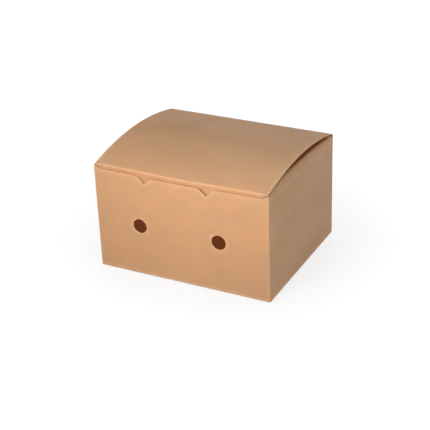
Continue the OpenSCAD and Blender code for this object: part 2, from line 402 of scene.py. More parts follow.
def board_piece(name, outline, rule, columns, rows, folds, holes=(), lines=(), flip=False):
    """A piece of board: rule(uv) gives the middle of the sheet and its outward normal.

    folds are segments of the flat cut along which the coating is worn, and paler for a painted
    highlight.
    The outer face, the inner face and the cut edge each have their material.
    """
    uv, triangles = flat_mesh(outline, holes, columns, rows, lines)
    middle, normal = rule(uv)
    if flip:
        triangles = triangles[:, ::-1]
    half = sizes("board").thickness / 2
    count = len(uv)
    vertices = np.concatenate([middle + normal * half, middle - normal * half])
    rim = border_edges(triangles)
    faces = [tuple(t) for t in triangles.tolist()]
    faces += [tuple(count + i for i in reversed(t)) for t in triangles.tolist()]
    faces += [(b, a, a + count, b + count) for a, b in rim.tolist()]
    slots = [OUTSIDE] * len(triangles) + [INSIDE] * len(triangles) + [EDGE] * len(rim)

    mesh = bpy.data.meshes.new(name)
    mesh.from_pydata(vertices.tolist(), [], faces)
    mesh.polygons.foreach_set("material_index", slots)
    mesh.polygons.foreach_set("use_smooth", [True] * len(faces))
    layer = mesh.uv_layers.new(name="Cut")
    corner_vertex = np.zeros(len(mesh.loops), int)
    mesh.loops.foreach_get("vertex_index", corner_vertex)
    layer.data.foreach_set("uv", uv[corner_vertex % count].astype(np.float32).ravel())

    # Paler bands by the folds and cut edges: worn coating, and a painted highlight on the creases
    # and cut rims
    fold_near = np.zeros(count)
    for a, b in folds:
        near = np.exp(-((line_distance(uv, a, b) / FOLD_WEAR_AND_HIGHLIGHT) ** 2))
        fold_near = np.maximum(fold_near, near)
    cut_near = np.zeros(count)
    for loop in (outline, *holes):
        for a, b in zip(loop, np.roll(loop, -1, 0)):
            cut_near = np.maximum(cut_near, np.exp(-line_distance(uv, a, b) / CUT_WEAR_AND_HIGHLIGHT))
    for label, values in (("fold", fold_near), ("cut", cut_near)):
        attribute = mesh.attributes.new(label, "FLOAT", "POINT")
        attribute.data.foreach_set("value", np.tile(values, 2).astype(np.float32))

    mesh.set_sharp_from_angle(angle=SHARP_ANGLE)
    mesh.validate()
    piece = add_object(name, mesh)
    for material in (outside_board(), inside_board(), cut_edge()):
        mesh.materials.append(material)
    return piece


# Rules that fold the flat cut


def ease(t):
    """A smooth step from 0 to 1."""
    t = np.clip(t, 0, 1)
    return t * t * (3 - 2 * t)


def bump(x, half_width):
    """A smooth hill over the middle, one high."""
    t = np.clip(np.abs(x) / half_width, 0, 1)
    return 0.5 + 0.5 * np.cos(math.pi * t)


# Most of the bow that a point above the side walls may have, and where the side's bow turns
BOW_LIMIT = 1.2
SIDE_BOW_POWER = 0.72


def bow_share(z):
    """Share of a wall's bow at a height: none at the base, all of it at the top."""
    return np.clip(z / sizes("walls").side_height, 0, BOW_LIMIT) ** 2


def front_bow(x, z):
    """How far the front wall stands out."""
    walls = sizes("walls")
    return walls.front_bow * bump(x, walls.bow_width) * bow_share(z)


def side_bow(y, z):
    """How far a side wall stands out: in near the front corner, out behind it."""
    part = np.clip((y + BOX_DEPTH / 2) / BOX_DEPTH, 0, 1)
    wave = np.sin(math.tau * part**SIDE_BOW_POWER)
    return -sizes("walls").side_bow * wave * bow_share(z)


def turned(turn, out, ahead):
    """A sheet's normal and way ahead after a turn from out towards ahead."""
    cos, sin = np.cos(turn)[:, None], np.sin(turn)[:, None]
    return cos * out + sin * ahead, cos * ahead - sin * out


def folded_on(u, arc):
    """How far along the flat a point lies before or after a fold."""
    return np.where(u < 0, u, np.maximum(u - arc, 0))[:, None]


# How far the left wall reaches past its back corner's centre, and the slack at a run's ends
GLUED_EDGE = 0.3 * MM
PATH_SLACK = 1e-9
# A normal with more than this along x or y belongs to a flat wall, not to a fold
FLAT = 0.999


class WallPath:
    """The walls' plan as a line through the board, from the glued edge to the glue flap."""

    panels = (0, 2, 4, 6, 8)
    folds = (1, 3, 5, 7)

    def __init__(self):
        board, flaps = sizes("board", "flaps")
        self.radius = middle_radius()
        self.x = BOX_WIDTH / 2 - board.fold_radius
        self.y = BOX_DEPTH / 2 - board.fold_radius
        # The glue flap lies one layer inside the left wall
        glue_x = self.x - board.thickness
        quarter = self.radius * math.pi / 2
        start = self.y + GLUED_EDGE
        runs = [
            ("line", (-self.x - self.radius, start), (0, -1), start + self.y),
            ("arc", (-self.x, -self.y), 180, quarter),
            ("line", (-self.x, -self.y - self.radius), (1, 0), 2 * self.x),
            ("arc", (self.x, -self.y), 270, quarter),
            ("line", (self.x + self.radius, -self.y), (0, 1), 2 * self.y),
            ("arc", (self.x, self.y), 0, quarter),
            ("line", (self.x, self.y + self.radius), (-1, 0), self.x + glue_x),
            ("arc", (-glue_x, self.y), 90, quarter),
            ("line", (-glue_x - self.radius, self.y), (0, -1), flaps.glue_width),
        ]
        self.parts = []
        s = 0.0
        for kind, place, way, run in runs:
            self.parts.append((kind, np.array(place, float), way, s, s + run))
            s += run

    def bounds(self, index):
        """Where a part starts and ends along the path."""
        return self.parts[index][3], self.parts[index][4]

    def place(self, s):
        """Plan position and outward normal at each distance along the path."""
        place = np.zeros((len(s), 2))
        normal = np.zeros((len(s), 2))
        for kind, origin, way, low, high in self.parts:
            mine = (s >= low - PATH_SLACK) & (s <= high + PATH_SLACK)
            run = s[mine] - low
            if kind == "line":
                way = np.array(way, float)
                place[mine] = origin + run[:, None] * way
                normal[mine] = (way[1], -way[0])
            else:
                turn = math.radians(way) + run / self.radius
                out = np.stack([np.cos(turn), np.sin(turn)], 1)
                place[mine] = origin + self.radius * out
                normal[mine] = out
        return place, normal

    def rule(self, uv):
        """Folds the strip of walls and bows them."""
        plan, out = self.place(uv[:, 0])
        z = uv[:, 1]
        x, y = plan[:, 0], plan[:, 1]
        # The side walls, the glue flap and the front wall bow, and the rest doesn't
        side = (np.abs(out[:, 0]) > FLAT) | (uv[:, 0] > self.bounds(8)[0])
        front = np.where(out[:, 1] < -FLAT, front_bow(x, z), 0.0)
        push = np.where(side, side_bow(y, z), front)
        plan = plan + out * push[:, None]
        middle = np.column_stack([plan, z])
        normal = np.column_stack([out, np.zeros(len(uv))])
        return middle, normal


# Distance of the mesh lines before and after a fold, and the lines through it
FOLD_MARGIN = 0.4 * MM
FOLD_STEPS = 6
# Distance from the hinge at which the back wall and the lid meet the strip between them
HINGE_JOIN = 1.2 * MM
# Radius of the short posts beside the flaps, and how far the back ones rise beside the hinge
POST = 0.8 * MM
BACK_CORNER = 1.1 * MM
# How much lower a post is beside its flap, in front and behind
FRONT_SLOPE = 0.2 * MM
BACK_SLOPE = 0.3 * MM
GLUE_CORNER = 1 * MM


def through_fold(low, high):
    """Mesh lines through a fold, and one after it."""
    return [*np.linspace(low, high, FOLD_STEPS + 1), high + FOLD_MARGIN]


def wall_outline(path):
    """The walls' flat cut: distance along the path, and height."""
    board, walls, flaps = sizes("board", "walls", "flaps")
    low = board.fold_radius
    raised = low + board.thickness
    left, front, right, back, glue = (path.bounds(k) for k in WallPath.panels)
    crease = walls.side_height - board.fold_radius
    corner = walls.side_height + walls.corner_rise
    hinge = HINGE.z - HINGE_JOIN
    back_top = hinge + BACK_CORNER
    left_back = left[0] + flaps.dust_back - board.fold_radius + BACK_SLOPE
    dust_front = flaps.dust_front - board.fold_radius
    dust_back = flaps.dust_back - board.fold_radius
    sweep = walls.corner_sweep
    middle = (front[0] + front[1]) / 2
    half = walls.notch_width / 2
    top = walls.front_height

    def notch(side):
        u = middle - walls.notch_shift + side * walls.notch_pitch / 2
        return [
            (u - half, top, walls.notch_radius),
            (u, top - walls.notch_depth, walls.notch_radius),
            (u + half, top, walls.notch_radius),
        ]

    corners = [
        # Base edge, from the glued edge to the glue flap
        (left[0], low, 0),
        (front[0], low, 0),
        (front[0], raised, 0),
        (front[1], raised, 0),
        (front[1], low, 0),
        (back[0], low, 0),
        (back[0], raised, 0),
        (back[1], raised, 0),
        (glue[0], raised + flaps.glue_end / 2, 0),
        (glue[1], raised + 2 * flaps.glue_end, GLUE_CORNER),
        # Top edge, back again
        (glue[1], crease - 2 * flaps.glue_end, GLUE_CORNER),
        (glue[0], crease - flaps.glue_end / 2, 0),
        (back[1] + path.radius, hinge - GLUE_CORNER, 0),
        (back[1] + POST / 4, back_top, POST / 4),
        (back[1], back_top, 0),
        (back[1], hinge, 0),
        (back[0], hinge, 0),
        (back[0], back_top, 0),
        (right[1] + path.radius / 2, back_top, 0),
        (right[1] - dust_back, back_top - BACK_SLOPE, POST),
        (right[1] - dust_back, crease, 0),
        (right[0] + dust_front, crease, 0),
        (right[0] + dust_front, corner - FRONT_SLOPE, POST),
        (front[1], corner, POST / 2),
        (front[1] - sweep, top, sweep),
        *reversed(notch(1)),
        *reversed(notch(-1)),
        (front[0] + sweep, top, sweep),
        (front[0], corner, POST / 2),
        (left[1] - dust_front, corner - FRONT_SLOPE, POST),
        (left[1] - dust_front, crease, 0),
        (left_back, crease, 0),
        (left_back, back_top - BACK_SLOPE, POST),
        (left[0], back_top, POST / 2),
    ]
    return rounded(corners), middle


class SNACKBOX_OT_walls(bpy.types.Operator):
    """Fold the strip of walls, with its vents, notches and glue flap"""

    bl_idname = "snackbox.walls"
    bl_label = "Walls"

    def execute(self, context):
        board, walls = sizes("board", "walls")
        path = WallPath()
        outline, middle = wall_outline(path)
        holes = [
            ring(
                middle - walls.vent_shift + side * walls.vent_pitch / 2,
                walls.vent_height,
                walls.vent_diameter / 2,
            )
            for side in (-1, 1)
        ]
        columns, folds = [], []
        top = outline[:, 1].max()
        for k in WallPath.panels:
            columns += spaced(*path.bounds(k), board.grid)[1:-1]
        for k in WallPath.folds:
            low, high = path.bounds(k)
            columns += [low - FOLD_MARGIN, *through_fold(low, high)]
            folds.append((((low + high) / 2, 0), ((low + high) / 2, top)))
        rows = spaced(board.fold_radius, top, board.grid)
        piece = board_piece("tray_walls", outline, path.rule, columns, rows, folds, holes)
        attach(piece, "tray")
        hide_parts("tray")
        return {"FINISHED"}


class BaseFlapRule:
    """A base flap: v runs along its crease, and u from the wall's edge over the fold."""

    down = np.array((0.0, 0.0, -1.0))

    def __init__(self, origin, along, out, lift=None):
        self.origin, self.along, self.out = (np.array(v, float) for v in (origin, along, out))
        self.radius = middle_radius()
        self.arc = self.radius * math.pi / 2
        self.lift = lift

    def __call__(self, uv):
        u, v = uv[:, 0], uv[:, 1]
        turn = np.clip(u / self.radius, 0, math.pi / 2)
        normal, ahead = turned(turn, self.out, self.down)
        middle = self.origin + v[:, None] * self.along + self.radius * normal
        middle = middle + folded_on(u, self.arc) * ahead
        if self.lift is not None:
            middle = middle + self.lift(u - self.arc, v)[:, None] * normal
        return middle, normal


NORMAL_STEP = 0.02 * MM
# Mesh lines over a dust flap's fold, how far they reach and where the next ones start
DUST_LINES, DUST_FOLD_END, DUST_FLAT_START = 9, 1.4 * MM, 2 * MM
# The dust flap's distance from the lid's board at the box's corners, and where it starts to close
CORNER_GAP = 0.8 * MM
CORNER_CLOSING = 16 * MM


def sheet_normal(place, uv):
    """Unit normals of a bent sheet, from small steps both ways along its cut."""
    along = place(uv + (NORMAL_STEP, 0)) - place(uv - (NORMAL_STEP, 0))
    across = place(uv + (0, NORMAL_STEP)) - place(uv - (0, NORMAL_STEP))
    normal = np.cross(along, across)
    return normal / np.linalg.norm(normal, axis=1)[:, None]


class SprungRule:
    """A dust flap: steep beside its crease, then bent over to lie along the arch under the lid."""

    samples = 400

    def __init__(self, side):
        board, walls, flaps = sizes("board", "walls", "flaps")
        self.side = side
        self.radius = middle_radius()
        self.crease_x = BOX_WIDTH / 2 - board.fold_radius
        self.crease_z = walls.side_height - board.fold_radius
        self.steep = flaps.dust_steep
        self.bend = flaps.dust_bend
        self.depth = flaps.dust_depth
        self.lid = LidRule()
        # Height that the bend gains at the full slope
        slopes = self.steep * (1 - ease(np.linspace(0, 1, self.samples)))
        self.bend_rise = self.bend * np.sin(slopes).mean()

    def roof(self, y):
        """Height of the flap where it lies under the lid."""
        flaps = sizes("flaps")
        sag = flaps.dust_sag * bump(y - flaps.dust_sag_y, flaps.dust_sag_width)
        ends = ease((BOX_DEPTH / 2 - np.abs(y)) / CORNER_CLOSING)
        more = (flaps.dust_gap - CORNER_GAP + sag) * ends
        return self.lid.height(y) - CORNER_GAP - more

    def travel(self, u, v):
        """How far in and up the sheet has come at a distance u from the wall's edge."""
        rise = self.roof(v) - self.crease_z
        left = rise - self.radius * math.cos(self.steep)
        slope = self.steep * np.clip(left / self.bend_rise, 0, 1)
        arc = self.radius * (math.pi / 2 - slope)
        web = np.maximum(left - self.bend_rise, 0) / math.sin(self.steep)

        def ways(end):
            run = end[:, None] * np.linspace(0, 1, self.samples)
            past = (run - (arc + web)[:, None]) / self.bend
            angle_at = np.where(
                run < arc[:, None],
                math.pi / 2 - run / self.radius,
                slope[:, None] * (1 - ease(past)),
            )
            return end * np.cos(angle_at).mean(1), end * np.sin(angle_at).mean(1)

        inward, up = ways(u)
        top = ways(arc + web + self.bend)[1]
        return inward, up * rise / top

    def place(self, uv):
        u, v = uv[:, 0], uv[:, 1]
        inward, up = self.travel(u, v)
        bow = side_bow(v, np.full(len(v), self.crease_z))
        bow = bow * (1 - np.clip(u / self.depth, 0, 1))
        x = self.side * (self.crease_x + self.radius - inward + bow)
        return np.column_stack([x, v, self.crease_z + up])

    def __call__(self, uv):
        return self.place(uv), -self.side * sheet_normal(self.place, uv)


class SNACKBOX_OT_dust_flaps(bpy.types.Operator):
    """Fold the two dust flaps in from the side walls and spring them up under the lid"""

    bl_idname = "snackbox.dust_flaps"
    bl_label = "Dust Flaps"

    def execute(self, context):
        board, flaps = sizes("board", "flaps")
        front = -BOX_DEPTH / 2 + flaps.dust_front
        back = BOX_DEPTH / 2 - flaps.dust_back
        depth = flaps.dust_depth
        slant = depth * math.tan(flaps.dust_taper)
        arc = middle_radius() * (math.pi / 2 - flaps.dust_steep)
        outline = rounded(
            [
                (0, front, 0),
                (arc, front, 0),
                (depth, front + slant, flaps.dust_corner),
                (depth, back - slant, flaps.dust_corner),
                (arc, back, 0),
                (0, back, 0),
            ]
        )
        columns = [*np.linspace(0, DUST_FOLD_END, DUST_LINES)]
        columns += spaced(DUST_FLAT_START, depth / 2, board.grid / 4)
        columns += spaced(depth / 2, depth, board.grid)[1:]
        rows = spaced(front, back, board.grid / 2)
        folds = [((arc, front), (arc, back))]
        for name, side in (("dust_flap_right", 1), ("dust_flap_left", -1)):
            rule = SprungRule(side)
            piece = board_piece(name, outline, rule, columns, rows, folds, flip=side > 0)
            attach(piece, "tray")
        return {"FINISHED"}


# How far from a base flap's fold its even mesh lines start
FLAT_START = 3 * MM
# Share of an outer base flap's depth that its diagonal crease crosses, how far from the corner
# the crease starts, and the lines beside it
DIAGONAL_SHARE = 0.86
DIAGONAL_START = 0.5 * MM
DIAGONAL_OFFSET = np.array((0.6 * MM, 0.6 * MM))
# Radius at a hook's root, how far before the middle a hook starts to climb, and over what length
HOOK_ROOT = 1 * MM
HOOK_START = 7 * MM
HOOK_CLIMB = 6 * MM


class SNACKBOX_OT_base(bpy.types.Operator):
    """Fold the crash lock base: two outer flaps, and two inner flaps that hook together"""

    bl_idname = "snackbox.base"
    bl_label = "Base"

    def execute(self, context):
        self.outer_flaps()
        self.inner_flaps()
        return {"FINISHED"}

    def outer_flaps(self):
        """The two flaps that join the side walls."""
        board, flaps = sizes("board", "flaps")
        arc = middle_radius() * math.pi / 2
        reach = BOX_DEPTH / 2 - board.fold_radius - board.seam_gap
        depth = flaps.outer_depth - board.fold_radius
        outline = rounded(
            [
                (0, -reach, 0),
                (arc, -reach, 0),
                (arc + depth, depth - reach, flaps.base_corner),
                (arc + depth, reach - depth * math.tan(flaps.outer_taper), flaps.base_corner),
                (arc, reach, 0),
                (0, reach, 0),
            ]
        )
        # The real glued corner hinges on a diagonal crease; here the crease is only mesh lines and
        # a paler band, and the flap stays flat
        end = depth * DIAGONAL_SHARE
        diagonal = ((arc, reach - DIAGONAL_START), (arc + end, reach - end))
        lines = [diagonal]
        for side in (-1, 1):
            lines.append(tuple(np.array(p) + side * DIAGONAL_OFFSET for p in diagonal))
        columns = through_fold(0, arc)
        columns += spaced(arc + FLAT_START, arc + depth, 2 * board.grid)
        rows = spaced(-reach, reach, 2 * board.grid)
        folds = [((arc / 2, -reach), (arc / 2, reach)), diagonal]
        for name, side in (("base_flap_right", 1), ("base_flap_left", -1)):
            crease = (side * (BOX_WIDTH / 2 - board.fold_radius), 0, board.fold_radius)
            rule = BaseFlapRule(crease, (0, side, 0), (side, 0, 0))
            piece = board_piece(name, outline, rule, columns, rows, folds, lines=lines)
            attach(piece, "tray")

    def inner_flaps(self):
        """The two flaps that join the front and back walls, with a hook each."""
        board, flaps = sizes("board", "flaps")
        arc = middle_radius() * math.pi / 2
        reach = BOX_WIDTH / 2 - board.fold_radius - board.seam_gap
        middle = arc + BOX_DEPTH / 2 - board.fold_radius - board.seam_gap / 2
        hook_low, hook_high = flaps.hook_end, BOX_WIDTH / 2 - flaps.hook_end
        tip = middle + flaps.hook_reach
        outline = rounded(
            [
                (0, -reach, 0),
                (middle, -reach, board.seam_gap),
                (middle, hook_low, HOOK_ROOT),
                (tip, hook_low, flaps.base_corner),
                (tip, hook_high, flaps.base_corner),
                (middle, hook_high, HOOK_ROOT),
                (middle, reach, board.seam_gap),
                (0, reach, 0),
            ]
        )

        def lift(u, v):
            # The hook climbs one layer, to lie on the other flap
            along = ease((u + arc - middle + HOOK_START) / HOOK_CLIMB)
            across = ease((v - hook_low + HOOK_CLIMB) / HOOK_CLIMB)
            across = across * ease((hook_high + HOOK_CLIMB - v) / HOOK_CLIMB)
            return -board.thickness * along * across

        columns = through_fold(0, arc)
        columns += spaced(arc + FLAT_START, middle - HOOK_START - 1 * MM, 2 * board.grid)
        columns += spaced(middle - HOOK_START, tip, board.grid / 2)
        rows = spaced(-reach, reach, 2 * board.grid)
        rows += [hook_low - HOOK_CLIMB / 2, hook_high + HOOK_CLIMB / 2]
        folds = [((arc / 2, -reach), (arc / 2, reach))]
        base_z = board.fold_radius + board.thickness
        for name, side in (("base_flap_front", -1), ("base_flap_back", 1)):
            crease = (0, side * (BOX_DEPTH / 2 - board.fold_radius), base_z)
            rule = BaseFlapRule(crease, (side, 0, 0), (0, side, 0), lift)
            piece = board_piece(name, outline, rule, columns, rows, folds, flip=True)
            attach(piece, "tray")


# Half width of the lid's bow, and the share of it that is gone at the tuck's free edge
LID_BOW_WIDTH = 74 * MM
TUCK_STRAIGHTENING = 0.35
# Slack with which a point counts to the lips past the slits
LIP_SIDE_SLACK, LIP_END_SLACK = 0.01 * MM, 0.2 * MM


class LidRule:
    """The lid's profile: up the arch from the hinge, over the front crease and down the tuck."""

    def __init__(self):
        board, lid = sizes("board", "lid")
        self.radius = middle_radius()
        front_y = -BOX_DEPTH / 2 + lid.front_gap
        chord_y = HINGE.y - front_y - board.fold_radius
        chord = math.hypot(chord_y, lid.front_rise)
        tilt = math.atan2(lid.front_rise, chord_y)
        self.arch_radius = chord * chord / (8 * lid.arch) + lid.arch / 2
        drop = self.arch_radius - lid.arch
        centre_y = HINGE.y - chord_y / 2 - drop * math.sin(tilt)
        centre_z = HINGE.z + lid.front_rise / 2 - drop * math.cos(tilt)
        self.centre = np.array((centre_y, centre_z))
        half = math.asin(chord / 2 / self.arch_radius)
        self.hinge_slope = half + tilt
        self.front_slope = half - tilt
        self.arch_length = 2 * half * self.arch_radius
        reach = HINGE.y - front_y
        lean = math.asin(lid.tuck_depth / (2 * reach)) + lid.tuck_spare
        self.turn = math.pi / 2 - self.front_slope + lean
        self.crease_end = self.arch_length + self.radius * self.turn
        self.free_edge = self.crease_end + lid.tuck_depth - board.fold_radius
        self.half_width = BOX_WIDTH / 2 - board.fold_radius + lid.overhang
        self.slit = self.half_width - lid.slit_length
        self.lip = self.arch_length + lid.lip
        self.bow = lid.bow

    def profile(self, q, lips):
        """Places and normals in the plane across the lid, as (y, z)."""
        turn = self.hinge_slope - q / self.arch_radius
        turn = np.where(lips, turn, np.maximum(turn, -self.front_slope))
        normal = np.stack([np.sin(turn), np.cos(turn)], 1)
        place = self.centre + self.arch_radius * normal
        cos, sin = math.cos(self.front_slope), math.sin(self.front_slope)
        out, ahead = np.array((-sin, cos)), np.array((-cos, -sin))
        over = np.clip((q - self.arch_length) / self.radius, 0, self.turn)
        fold_normal, fold_ahead = turned(over, out, ahead)
        centre = self.centre + (self.arch_radius - self.radius) * out
        down = np.maximum(q - self.crease_end, 0)[:, None]
        folded = centre + self.radius * fold_normal + down * fold_ahead
        past = ((q > self.arch_length) & ~lips)[:, None]
        return np.where(past, folded, place), np.where(past, fold_normal, normal)

    def height(self, y):
        """Height of the middle of the arched panel's board."""
        return self.centre[1] + np.sqrt(self.arch_radius**2 - (y - self.centre[0]) ** 2)

    def bow_at(self, x, q):
        """How far the front of the lid bows forward, with the wall before it."""
        along = np.clip(q / self.arch_length, 0, 1) ** 2
        down = np.clip((q - self.arch_length) / (self.free_edge - self.arch_length), 0, 1)
        return self.bow * bump(x, LID_BOW_WIDTH) * along * (1 - TUCK_STRAIGHTENING * down)

    def __call__(self, uv):
        x, q = uv[:, 0], uv[:, 1]
        lips = (np.abs(x) > self.slit - LIP_SIDE_SLACK) & (q < self.lip + LIP_END_SLACK)
        place, normal = self.profile(q, lips)
        y = place[:, 0] - self.bow_at(x, q)
        middle = np.column_stack([x, y, place[:, 1]])
        return middle, np.column_stack([np.zeros(len(x)), normal])


# Gap between a lock slit's lip and the tuck, radius at the tuck's root, and steps of a corner
LIP_GAP = 0.25 * MM
TUCK_ROOT = 0.3 * MM
LID_CORNER_STEPS = 8
# Mesh lines over the lid's fold, and how far past it the tuck's even ones start
LID_FOLD_LINES, TUCK_START = 8, 2 * MM
# Mesh lines over the strip's bend, and the shares of it between which it widens
HINGE_LINES, WIDENING = 9, (0.3, 0.9)


class SNACKBOX_OT_lid(bpy.types.Operator):
    """Cut the arched lid with its lock slits, and fold its tuck"""

    bl_idname = "snackbox.lid"
    bl_label = "Lid"

    def execute(self, context):
        board, lid = sizes("board", "lid")
        rule = LidRule()
        w, c = rule.half_width, rule.slit
        e = BOX_WIDTH / 2 - lid.tuck_inset
        root = rule.crease_end + lid.slit_width
        taper = (rule.free_edge - root) * math.tan(lid.tuck_taper)
        half = [
            (w, HINGE_JOIN, 0),
            (w, rule.lip, lid.corner),
            (c, rule.lip, 0),
            (c, rule.arch_length, 0),
            (c - LIP_GAP, rule.arch_length, 0),
            (c - LIP_GAP, root, 0),
            (e, root, TUCK_ROOT),
            (e - taper, rule.free_edge, lid.tuck_corner),
        ]
        left = [(-x, q, r) for x, q, r in reversed(half)]
        outline = rounded(half + left, LID_CORNER_STEPS)
        columns = spaced(-w, w, board.grid)
        rows = spaced(HINGE_JOIN, rule.arch_length - FOLD_MARGIN, board.grid)
        rows += [*np.linspace(rule.arch_length, rule.crease_end, LID_FOLD_LINES)]
        rows += [rule.crease_end + FOLD_MARGIN]
        rows += spaced(rule.crease_end + TUCK_START, rule.free_edge, board.grid)
        crease = (rule.arch_length + rule.crease_end) / 2
        folds = [((-c, crease), (c, crease))]
        piece = board_piece("lid_panel", outline, rule, columns, rows, folds)
        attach(piece, "lid")
        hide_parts("lid")
        return {"FINISHED"}


class SNACKBOX_OT_hinge(bpy.types.Operator):
    """Bend the strip of board that joins the back wall to the lid"""

    bl_idname = "snackbox.hinge"
    bl_label = "Hinge Crease"

    def execute(self, context):
        board = sizes("board")
        lid_rule = LidRule()
        radius = middle_radius()
        wall_y = BOX_DEPTH / 2 - board.thickness / 2
        slope = lid_rule.hinge_slope
        turn = math.pi / 2 - slope
        tangent = radius * math.tan(turn / 2)
        meet_z = HINGE.z - (wall_y - HINGE.y) * math.tan(slope)
        centre = np.array((wall_y - radius, meet_z - tangent))
        below = HINGE_JOIN - (HINGE.z - centre[1])
        arc = radius * turn
        ahead = HINGE_JOIN - (tangent - (wall_y - HINGE.y) / math.cos(slope))
        half = BOX_WIDTH / 2 - board.fold_radius
        wide = lid_rule.half_width

        def rule(uv):
            x, q = uv[:, 0], uv[:, 1]
            way_out, way_up = np.array((1.0, 0.0)), np.array((0.0, 1.0))
            normal, along = turned(np.clip(q / radius, 0, turn), way_out, way_up)
            place = centre + radius * normal + folded_on(q, arc) * along
            return np.column_stack([x, place]), np.column_stack([np.zeros(len(x)), normal])

        # The strip widens in its bend, from the back wall's width to the lid's
        narrow, broad = (arc * part for part in WIDENING)
        edge = [(half, -below), (half, narrow), (wide, broad), (wide, arc + ahead)]
        outline = np.array([(-half, -below)] + edge + [(-x, q) for x, q in edge[:0:-1]])
        columns = spaced(-half, half, 2 * board.grid)
        rows = np.linspace(0, arc, HINGE_LINES)
        folds = [((-half, arc / 2), (half, arc / 2))]
        piece = board_piece("hinge_crease", outline, rule, columns, rows, folds, flip=True)
        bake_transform(piece)
        return {"FINISHED"}


# Node helpers


def feed(tree, made, inputs):
    """Sets a node's inputs, from plain values or from sockets to link."""
    for key, value in inputs.items():
        if isinstance(value, bpy.types.NodeSocket):
            tree.links.new(value, made.inputs[key])
        else:
            made.inputs[key].default_value = value
    return made


def node(tree, kind, inputs=None, **options):
    """A node with its options and inputs."""
    made = tree.nodes.new(kind)
    for key, value in options.items():
        setattr(made, key, value)
    return feed(tree, made, inputs or {})


def math_node(tree, operation, a, b, clamp=False):
    """The result of one sum."""
    made = node(tree, "ShaderNodeMath", {0: a, 1: b}, operation=operation, use_clamp=clamp)
    return made.outputs[0]


def times(tree, a, b):
    """The product of two values."""
    return math_node(tree, "MULTIPLY", a, b)


def remap(tree, value, low, high, to_low, to_high):
    """A value carried from one range to another, and held there."""
    ranges = {"From Min": low, "From Max": high, "To Min": to_low, "To Max": to_high}
    return node(tree, "ShaderNodeMapRange", {"Value": value, **ranges}).outputs["Result"]


def mix(tree, factor, a, b):
    """A blend of two colours."""
    a, b = (v if isinstance(v, bpy.types.NodeSocket) else (*v, 1.0) for v in (a, b))
    return node(tree, "ShaderNodeMix", {0: factor, 6: a, 7: b}, data_type="RGBA").outputs[2]


def shades(tree, factor, colour, dark, light):
    """A colour that runs from a darker to a lighter shade of itself."""
    low = tuple(c * dark for c in colour)
    return mix(tree, factor, low, tuple(min(1.0, c * light) for c in colour))


def noise(tree, vector, scale, detail, roughness, distortion=0.0):
    """The value of a noise texture."""
    inputs = {"Vector": vector, "Scale": scale, "Detail": detail}
    inputs.update({"Roughness": roughness, "Distortion": distortion})
    return node(tree, "ShaderNodeTexNoise", inputs).outputs["Fac"]


def object_place(tree):
    """The place on the object."""
    return node(tree, "ShaderNodeTexCoord").outputs["Object"]


def drawn_out(tree, vector, scale):
    """A place with each of its axes scaled."""
    return node(tree, "ShaderNodeMapping", {"Vector": vector, "Scale": scale}).outputs["Vector"]


def group(name, inputs, outputs, kind="ShaderNodeTree"):
    """A group of nodes with named sockets, its inputs and its output node.

    The type of an input follows from its default, and None stands for a material.
    """
    tree = bpy.data.node_groups.new(name, kind)
    types = {float: "NodeSocketFloat", int: "NodeSocketInt", type(None): "NodeSocketMaterial"}
    if kind == "GeometryNodeTree":
        for way in ("INPUT", "OUTPUT"):
            tree.interface.new_socket(
                name="Geometry", in_out=way, socket_type="NodeSocketGeometry"
            )
    for label, default in inputs.items():
        socket = tree.interface.new_socket(
            name=label, in_out="INPUT", socket_type=types[type(default)]
        )
        if default is not None:
            socket.default_value = default
    for label in outputs:
        tree.interface.new_socket(name=label, in_out="OUTPUT", socket_type="NodeSocketFloat")
    return tree, tree.nodes.new("NodeGroupInput").outputs, tree.nodes.new("NodeGroupOutput")


def sunk(tree, sink, outputs):
    """The group with its outputs linked."""
    feed(tree, sink, outputs)
    return tree


def place_group(tree, made, **values):
    """A node that holds a group, with its own values."""
    held = node(tree, "ShaderNodeGroup", node_tree=made)
    feed(tree, held, {label.replace("_", " "): value for label, value in values.items()})
    return held.outputs


# Finish of the board

FIBRE_STRETCH = (0.35, 1.0, 1.0)
FIBRE_IN_TINT = 0.35
MOTTLE_IN_HEIGHT = 0.6
FLECK_SCALE = 420.0
# Where a fleck fades out in its cell, and the draw from which a cell has one
FLECK_FADE = (0.06, 0.16)
FLECK_CHANCE = (0.86, 0.9)
# Shades of the board's own colour: its mottle, its flecks and the plies of its cut edge
MOTTLE_SHADES = (0.86, 1.13)
FLECK_SHADE = 0.6
PLY_SHADES = (0.85, 1.1)
# Noise over which the coating breaks, and how much of the paler band, worn coating and painted
# highlight, is left where it holds
BREAK_RANGE = (0.35, 0.65)
LEAST_WEAR_AND_HIGHLIGHT = 0.35
SMUDGE_RANGE = (0.42, 0.72)
SMUDGE_STRETCH = (1.0, 0.6, 2.2)
SMUDGE_COLOUR = (0.42, 0.27, 0.17)
SMUDGE_SHARE = 0.16
SMUDGE_ROUGHNESS = 0.12
WEAR_ROUGHNESS = 0.2


